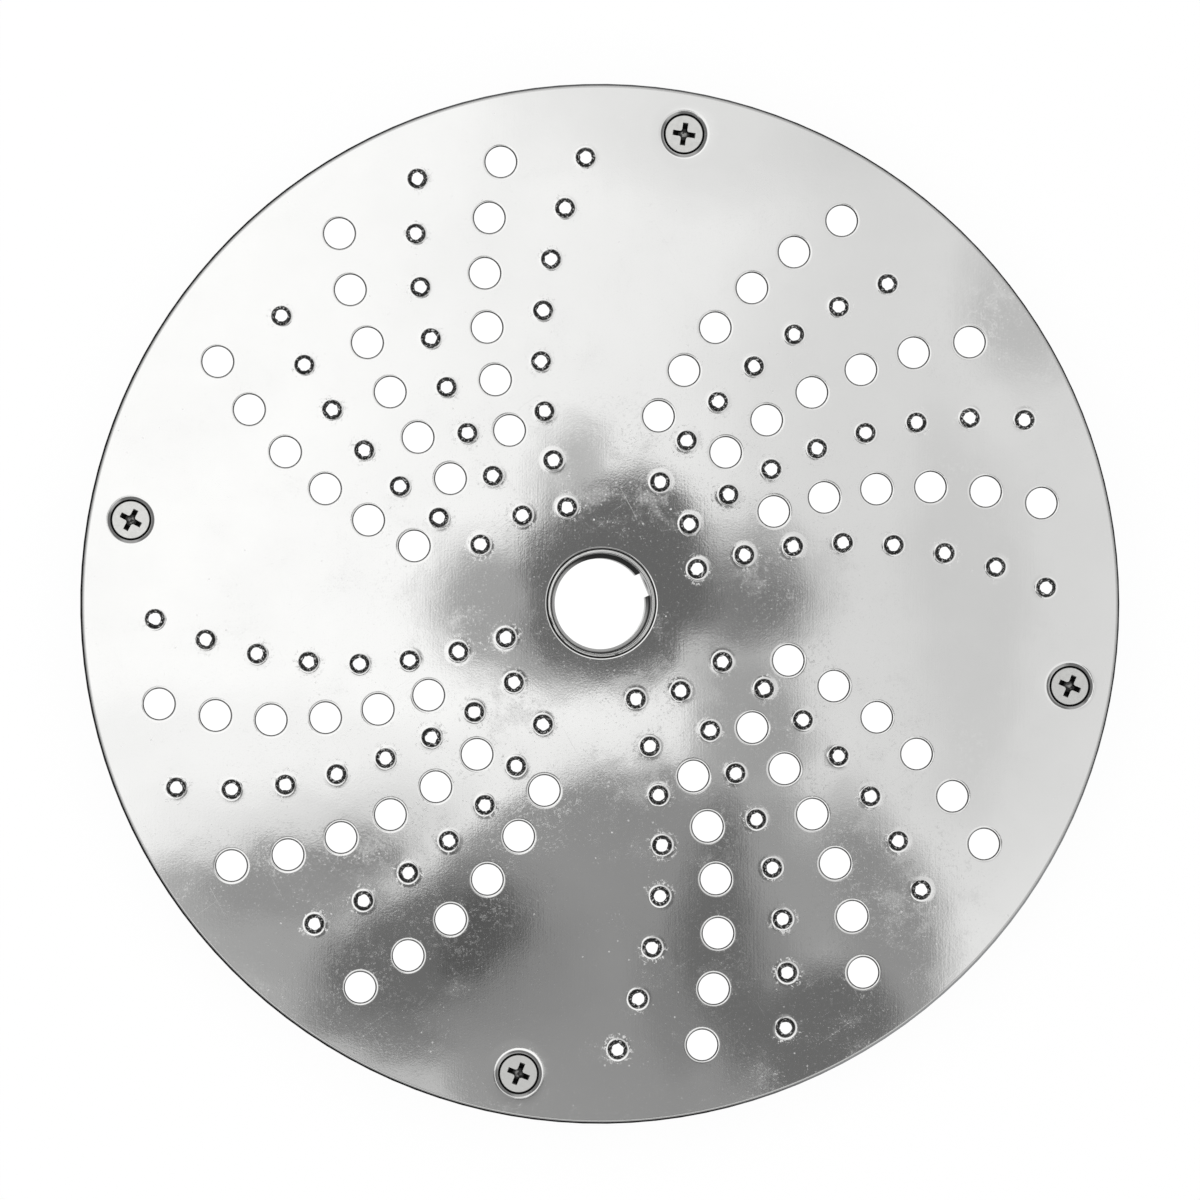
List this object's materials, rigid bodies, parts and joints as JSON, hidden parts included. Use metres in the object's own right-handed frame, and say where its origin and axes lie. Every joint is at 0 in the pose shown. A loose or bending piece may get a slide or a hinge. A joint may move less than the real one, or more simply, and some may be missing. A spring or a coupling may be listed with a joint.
{
  "type": "grating disc",
  "caption": "Round steel grating disc for a vegetable cutter: swirled rows of punched teeth and passage holes on a plate screwed to a cast carrier with a notched drive bush.",
  "frame": {"origin": "on the spin axis, at the carrier's underside, which the disc lies on", "axes": "+Z along the spin axis towards the toothed face; +X and +Y across the disc, to the right and up in the picture"},
  "size_m": [0.205, 0.205, 0.0142],
  "materials": {
    "plate_steel": "satin polished stainless sheet with a fine grain, scuffed round the teeth",
    "cast_aluminium": "fine cast skin, turned on the rim",
    "bush_steel": "turned stainless steel",
    "screw_steel": "plain stainless steel"
  },
  "bodies": {
    "root": {"grating_plate": "plate_steel", "disc_carrier": "cast_aluminium", "drive_bush": "bush_steel", "plate_screws": "screw_steel"}
  },
  "joints": []
}
